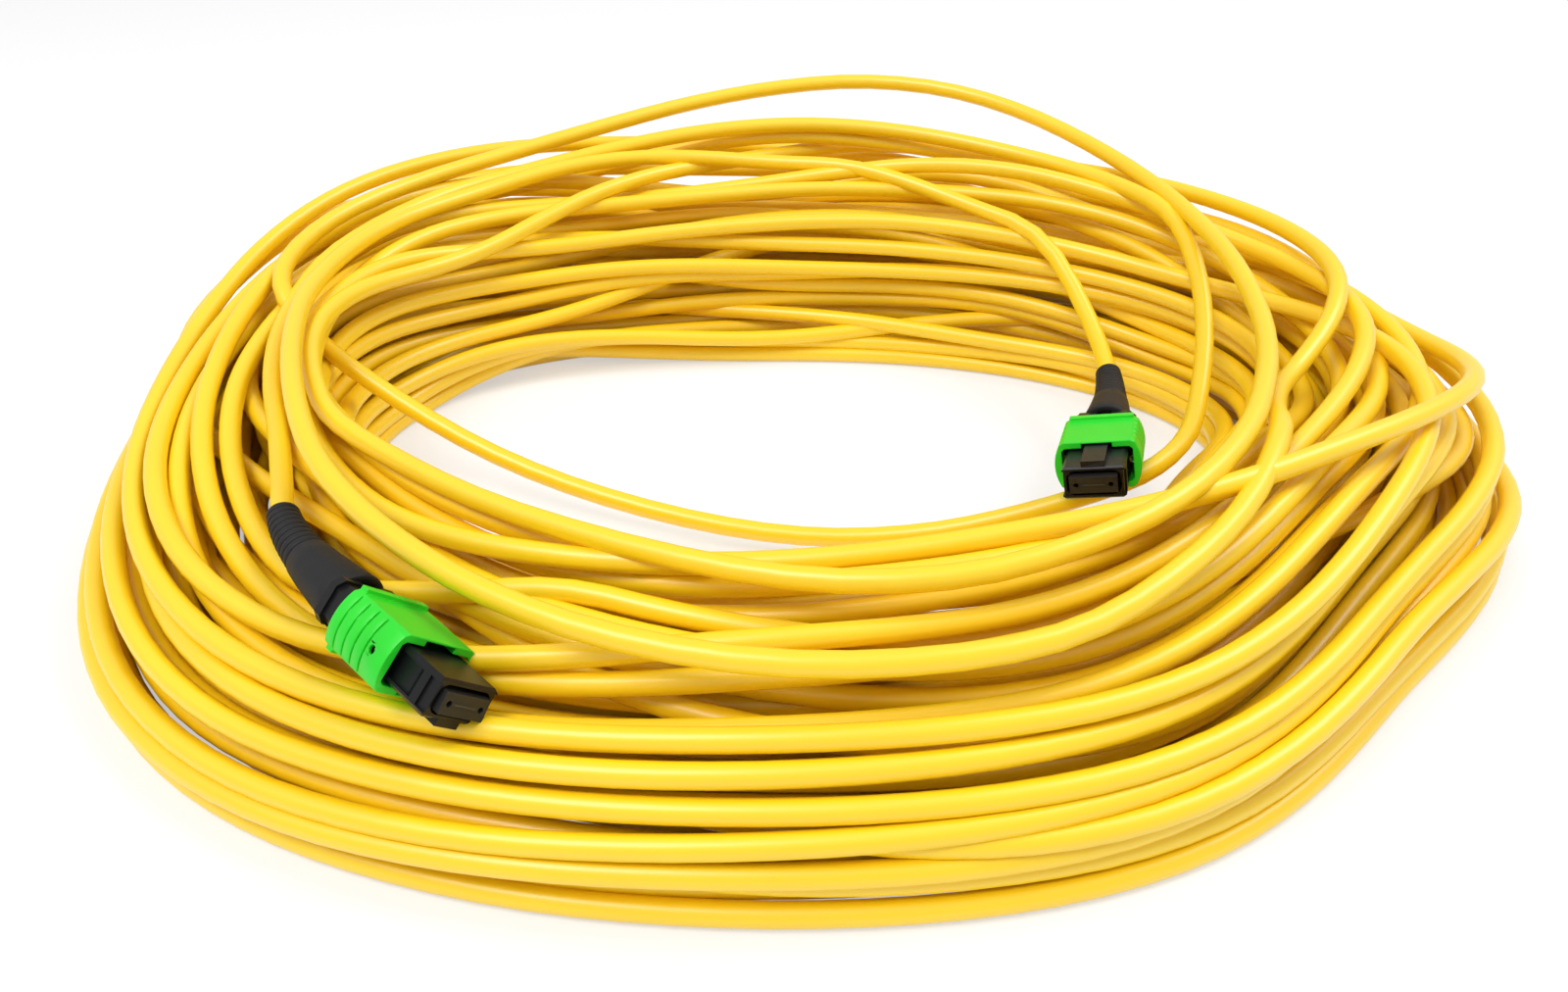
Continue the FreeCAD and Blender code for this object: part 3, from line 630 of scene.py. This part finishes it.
def floor_finish(colour, white_share):
    """A white floor that reads as white to the eye and keeps a soft shadow."""
    finish = Finish("floor_white")
    seen = finish.node("ShaderNodeLightPath", output="Is Camera Ray")
    mirrored = finish.node("ShaderNodeLightPath", output="Is Glossy Ray")
    through = finish.node("ShaderNodeLightPath", output="Is Transmission Ray")
    diffuse = finish.node("ShaderNodeBsdfDiffuse", None, {"Color": solid(colour)})
    white = finish.node("ShaderNodeEmission", None, {"Color": (1, 1, 1, 1), "Strength": 1.0})
    share = (seen + mirrored + through) * white_share
    mixed = finish.node("ShaderNodeMixShader", None, {0: share, 1: diffuse, 2: white})
    finish.feed(finish.tree.nodes["Material Output"].inputs["Surface"], mixed)
    return finish.material


def wind_spring(shape, placed, spring, side):
    """Fills a bmesh with a spring of round wire with closed ends, sideways of the plug's axis."""
    turns, wire_r, half_w, half_h = (spring[name] for name in ("turns", "wire_r", "half_w", "half_h"))
    forward = Vector((1, 0, 0))
    room = spring["front"] - spring["back"] - 2 * wire_r
    closed = CLOSED_TURN * 2 * wire_r
    rings = []
    for turn in np.linspace(0, turns, turns * SPRING_STEPS + 1):
        y, z = math.cos(2 * math.pi * turn), math.sin(2 * math.pi * turn)
        along = np.interp(
            turn, (0, CLOSED_TURN, turns - CLOSED_TURN, turns), (0, closed, room - closed, room))
        outward = Vector((0, y / half_w, z / half_h)).normalized()
        middle = Vector((spring["front"] - wire_r - along, side + half_w * y, half_h * z))
        round_wire = (
            outward * math.cos(angle) + forward * math.sin(angle)
            for angle in np.arange(WIRE_SIDES) * 2 * math.pi / WIRE_SIDES)
        rings.append([shape.verts.new(placed @ (middle + wire_r * reach)) for reach in round_wire])
    for ring, after in zip(rings, rings[1:]):
        for k in range(WIRE_SIDES):
            shape.faces.new((ring[k], ring[k - 1], after[k - 1], after[k]))
    shape.faces.new(rings[0])
    shape.faces.new(rings[-1][::-1])


def dress(node, material):
    """Gives a CAD node its material."""
    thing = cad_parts[node]
    if not thing.material_slots:
        thing.data.materials.append(material)
    for material_slot in thing.material_slots:
        material_slot.material = material
    return thing


def ease_edges(thing, width):
    """Rounds the edges of a moulded piece a little, as a mould does."""
    weld = thing.modifiers.new("Weld", "WELD")
    weld.merge_threshold = 0.000002
    bevel = thing.modifiers.new("Bevel", "BEVEL")
    bevel.width = width
    bevel.segments = 2
    bevel.limit_method = "ANGLE"
    bevel.angle_limit = math.radians(32)
    bevel.harden_normals = False


def add_mesh(name, build, material, smooth=True):
    """A new mesh object from a function that fills a bmesh."""
    mesh = bpy.data.meshes.new(name)
    shape = bmesh.new()
    build(shape)
    bmesh.ops.recalc_face_normals(shape, faces=shape.faces)
    for face in shape.faces:
        face.smooth = smooth
    shape.to_mesh(mesh)
    shape.free()
    thing = bpy.data.objects.new(name, mesh)
    mesh.materials.append(material)
    bpy.context.scene.collection.objects.link(thing)
    return thing


class CableSettings(bpy.types.PropertyGroup):
    """Sizes and colour of the cable."""

    diameter: bpy.props.FloatProperty(
        name="Diameter", description="Outer diameter of the jacket", default=0.003, unit="LENGTH")
    length: bpy.props.FloatProperty(
        name="Length", description="Length of the cable from plug to plug", default=30.0, unit="LENGTH")
    turns: bpy.props.IntProperty(
        name="Turns", description="Whole turns wound into the nest", default=57, min=8)
    stiffness: bpy.props.FloatProperty(
        name="Bridging", description="Radius in which the cable bends over another strand", default=0.11,
        unit="LENGTH")
    seed: bpy.props.IntProperty(name="Seed", description="Which loose winding is made", default=13)
    colour: bpy.props.FloatVectorProperty(
        name="Jacket", description="Colour of the jacket", default=(1.0, 0.69, 0.004), subtype="COLOR")


class PlugSettings(bpy.types.PropertyGroup):
    """Colours and small sizes of the plugs."""

    sleeve: bpy.props.FloatVectorProperty(
        name="Sleeve", description="Colour of the coupling sleeve", default=(0.012, 0.58, 0.016),
        subtype="COLOR")
    housing: bpy.props.FloatVectorProperty(
        name="Housing", description="Colour of the inner housing and the collar",
        default=(0.003, 0.003, 0.004), subtype="COLOR")
    rubber: bpy.props.FloatVectorProperty(
        name="Boot", description="Colour of the bend-relief boot", default=(0.007, 0.007, 0.0085),
        subtype="COLOR")
    edge: bpy.props.FloatProperty(
        name="Edge", description="Rounding of moulded edges", default=0.00012, unit="LENGTH")
    fibres: bpy.props.IntProperty(name="Fibres", description="Fibres in the ferrule's row", default=12)
    fibre_pitch: bpy.props.FloatProperty(
        name="Fibre pitch", description="Distance between fibres in the ferrule", default=0.00025,
        unit="LENGTH")


class StageSettings(bpy.types.PropertyGroup):
    """Camera, lamps and floor."""

    focal: bpy.props.FloatProperty(
        name="Focal length", description="Focal length of the camera in millimetres", default=25.875)
    key_power: bpy.props.FloatProperty(
        name="Key lamp", description="Power of the main lamp", default=4.6, unit="POWER")
    fill_power: bpy.props.FloatProperty(
        name="Fill lamp", description="Power of the second lamp", default=3.4, unit="POWER")
    sky: bpy.props.FloatProperty(name="Sky", description="Light from all round", default=0.60)
    floor: bpy.props.FloatVectorProperty(
        name="Floor", description="Colour of the floor", default=(0.92, 0.92, 0.92), subtype="COLOR")


class TRUNK_OT_stage(bpy.types.Operator):
    """Sets the camera, the soft studio lamps, the sky and the white floor"""

    bl_idname = "trunk.stage"
    bl_label = "Stage"

    def execute(self, context):
        scene = context.scene
        stage = scene.trunk_stage
        camera_data = bpy.data.cameras.new("camera")
        camera_data.lens = stage.focal
        camera_data.sensor_width = SENSOR_WIDTH
        camera_data.clip_start = 0.005
        camera = bpy.data.objects.new("camera", camera_data)
        camera.location = CAMERA_PLACE
        camera.rotation_euler = (CAMERA_TILT, 0, 0)
        scene.collection.objects.link(camera)
        scene.camera = camera
        scene.view_settings.view_transform = "Standard"

        lamps = {"key": (KEY_PLACE, stage.key_power), "fill": (FILL_PLACE, stage.fill_power)}
        for name, (place, power) in lamps.items():
            lamp = bpy.data.lights.new(name, "AREA")
            lamp.shape = "DISK"
            lamp.size = LAMP_SIZE
            lamp.energy = power
            lamp_object = bpy.data.objects.new(name, lamp)
            lamp_object.location = place
            lamp_object.rotation_euler = (-Vector(place)).to_track_quat("-Z", "Y").to_euler()
            scene.collection.objects.link(lamp_object)

        world = bpy.data.worlds.new("sky")
        world.use_nodes = True
        world.node_tree.nodes["Background"].inputs["Color"].default_value = (1, 1, 1, 1)
        world.node_tree.nodes["Background"].inputs["Strength"].default_value = stage.sky
        scene.world = world

        def sheet(shape):
            bmesh.ops.create_grid(shape, x_segments=1, y_segments=1, size=FLOOR_HALF)

        floor = add_mesh("floor", sheet, floor_finish(stage.floor, FLOOR_WHITE))
        return {"FINISHED"}


class TRUNK_OT_cable(bpy.types.Operator):
    """Winds the cable from plug a through the nest to plug b as one smooth curve"""

    bl_idname = "trunk.cable"
    bl_label = "Cable"

    def execute(self, context):
        cable = context.scene.trunk_cable
        points = cable_points(cable)
        curve = bpy.data.curves.new("cable", "CURVE")
        curve.dimensions = "3D"
        curve.resolution_u = 3
        curve.bevel_depth = cable.diameter / 2
        curve.bevel_resolution = 4
        curve.use_fill_caps = True
        spline = curve.splines.new("NURBS")
        spline.points.add(len(points) - 1)
        for control, point in zip(spline.points, points):
            control.co = (*point, 1.0)
        spline.order_u = 3
        spline.use_endpoint_u = True
        spline.use_smooth = True
        curve.materials.append(jacket_finish(cable.colour))
        thing = bpy.data.objects.new("cable", curve)
        context.scene.collection.objects.link(thing)
        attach(thing, "cable")
        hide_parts("cable_coil", "lead_a", "lead_b", "crossing_turn", "stray_turn")
        return {"FINISHED"}


class TRUNK_OT_sleeves(bpy.types.Operator):
    """Finishes the green coupling sleeves"""

    bl_idname = "trunk.sleeves"
    bl_label = "Coupling sleeves"

    def execute(self, context):
        plug = context.scene.trunk_plug
        green = moulded_finish("sleeve_plastic", plug.sleeve, gloss=0.30, grain_size=3000)
        for end in PLUGS:
            ease_edges(dress("sleeve_" + end, green), plug.edge)
        return {"FINISHED"}


class TRUNK_OT_housings(bpy.types.Operator):
    """Finishes the inner housings and the back posts"""

    bl_idname = "trunk.housings"
    bl_label = "Housings"

    def execute(self, context):
        plug = context.scene.trunk_plug
        black = moulded_finish("housing_plastic", plug.housing, gloss=0.28, grain_size=2600, shine=0.32)
        for end in PLUGS:
            for node in ("inner_housing_", "back_post_"):
                ease_edges(dress(node + end, black), plug.edge)
        return {"FINISHED"}


class TRUNK_OT_ferrules(bpy.types.Operator):
    """Finishes the ferrules and sets the row of fibre ends into their faces"""

    bl_idname = "trunk.ferrules"
    bl_label = "Ferrules"

    def execute(self, context):
        plug = context.scene.trunk_plug
        resin = moulded_finish(
            "ferrule_resin", (0.016, 0.015, 0.014), gloss=0.26, grain_size=4200, shine=0.30)
        glass = Finish("fibre_glass")
        speck = glass.noise(scale=9000, detail=1)
        glass_material = glass.set(
            Base_Color=glass.mix(speck, (0.07, 0.075, 0.08, 1), (0.13, 0.14, 0.145, 1)),
            Roughness=0.08 + speck * 0.08,
        )
        face_x = FACE_PROUD - FACE_HALF_H * math.tan(FACE_SLANT)
        slanted = Matrix.Rotation(math.radians(90) - FACE_SLANT, 4, "Y")
        for end in PLUGS:
            ease_edges(dress("ferrule_" + end, resin), plug.edge / 3)
            placed = plug_frame(end)

            def row(shape):
                for k in range(plug.fibres):
                    y = (k - (plug.fibres - 1) / 2) * plug.fibre_pitch
                    bmesh.ops.create_cone(
                        shape, cap_ends=True, segments=16, radius1=FIBRE_BACK_R, radius2=FIBRE_FRONT_R,
                        depth=FIBRE_END_L, matrix=placed @ Matrix.Translation((face_x, y, 0)) @ slanted)

            ends = add_mesh("fibre_ends_" + end, row, glass_material, smooth=False)
            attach(ends, "ferrule_" + end)
        return {"FINISHED"}


class TRUNK_OT_boots(bpy.types.Operator):
    bl_idname = "trunk.boots"
    bl_label = "Boots"

    def execute(self, context):
        rubber = rubber_finish(context.scene.trunk_plug.rubber)
        thing = bpy.data.objects["cable"]
        line = cable_line(thing)
        whole = BOOT_SMOOTH_L + BOOT_TAIL_L
        bore = BOOT_BORE + [(whole * share, BOOT_BORE[-1][1]) for share in BOOT_BORE_STEPS]
        profile = boot_outline() + bore[::-1]
        boots = {}
        for end, points in (("a", line[:BOOT_LINE_POINTS]), ("b", line[:-BOOT_LINE_POINTS:-1])):
            placed = plug_frame(end)
            points = [placed @ Vector((BOOT_FRONT, 0, 0))] + points

            def build(shape):
                sheathe(shape, points, profile, Vector((0, 0, 1)), BOOT_SIDES)

            boots[end] = add_mesh("bend_relief_" + end, build, rubber)
            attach(boots[end], "cable")
            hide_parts("boot_" + end)
        return {"FINISHED"}


class TRUNK_OT_inner_pieces(bpy.types.Operator):
    """Winds the springs and finishes the keepers, crimp rings, ferrule boots and fibre ribbons"""

    bl_idname = "trunk.inner_pieces"
    bl_label = "Inner pieces"

    def execute(self, context):
        steel = metal_finish("spring_wire", (0.62, 0.62, 0.61), roughness=0.22)
        plate = metal_finish("keeper_metal", (0.58, 0.58, 0.57), roughness=0.32)
        brass = metal_finish("crimp_metal", (0.72, 0.56, 0.30), roughness=0.30)
        soft = moulded_finish("soft_boot", (0.26, 0.26, 0.27), gloss=0.55, grain_size=2400)
        ribbon = moulded_finish("fibre", (0.52, 0.66, 0.72), gloss=0.25, grain_size=1500)
        finishes = {
            "pin_keeper_": plate, "crimp_ring_": brass, "ferrule_boot_": soft, "fibre_ribbon_": ribbon}
        for end in PLUGS:
            for node, material in finishes.items():
                dress(node + end, material)
            placed = plug_frame(end)
            for node, spring in SPRINGS.items():

                def build(shape):
                    for side in spring["sides"]:
                        wind_spring(shape, placed, spring, side)

                coil = add_mesh(node + "wire_" + end, build, steel)
                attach(coil, "cable")
                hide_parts(node + end)
                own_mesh(coil)
        return {"FINISHED"}


class TRUNK_PT_panel(bpy.types.Panel):
    """Lists the settings and the steps of the trunk cable"""

    bl_idname = "TRUNK_PT_panel"
    bl_label = "Trunk cable"
    bl_space_type = "VIEW_3D"
    bl_region_type = "UI"
    bl_category = "Trunk cable"

    def draw(self, context):
        for group in (context.scene.trunk_cable, context.scene.trunk_plug, context.scene.trunk_stage):
            box = self.layout.box()
            for name in group.bl_rna.properties.keys():
                if name not in ("rna_type", "name"):
                    box.prop(group, name)
        for operator in OPERATORS:
            self.layout.operator(operator.bl_idname)


SETTINGS = {"trunk_cable": CableSettings, "trunk_plug": PlugSettings, "trunk_stage": StageSettings}
OPERATORS = (TRUNK_OT_stage, TRUNK_OT_cable, TRUNK_OT_sleeves, TRUNK_OT_housings, TRUNK_OT_ferrules,
             TRUNK_OT_boots, TRUNK_OT_inner_pieces)


def register():
    for group in (*SETTINGS.values(), *OPERATORS, TRUNK_PT_panel):
        bpy.utils.register_class(group)
    for name, group in SETTINGS.items():
        setattr(bpy.types.Scene, name, bpy.props.PointerProperty(type=group))


def unregister():
    for name in SETTINGS:
        delattr(bpy.types.Scene, name)
    for group in reversed((*SETTINGS.values(), *OPERATORS, TRUNK_PT_panel)):
        bpy.utils.unregister_class(group)


def main():
    register()
    bpy.ops.trunk.stage()
    bpy.ops.trunk.cable()
    bpy.ops.trunk.sleeves()
    bpy.ops.trunk.housings()
    bpy.ops.trunk.ferrules()
    bpy.ops.trunk.boots()
    bpy.ops.trunk.inner_pieces()


if __name__ == "__main__":
    main()
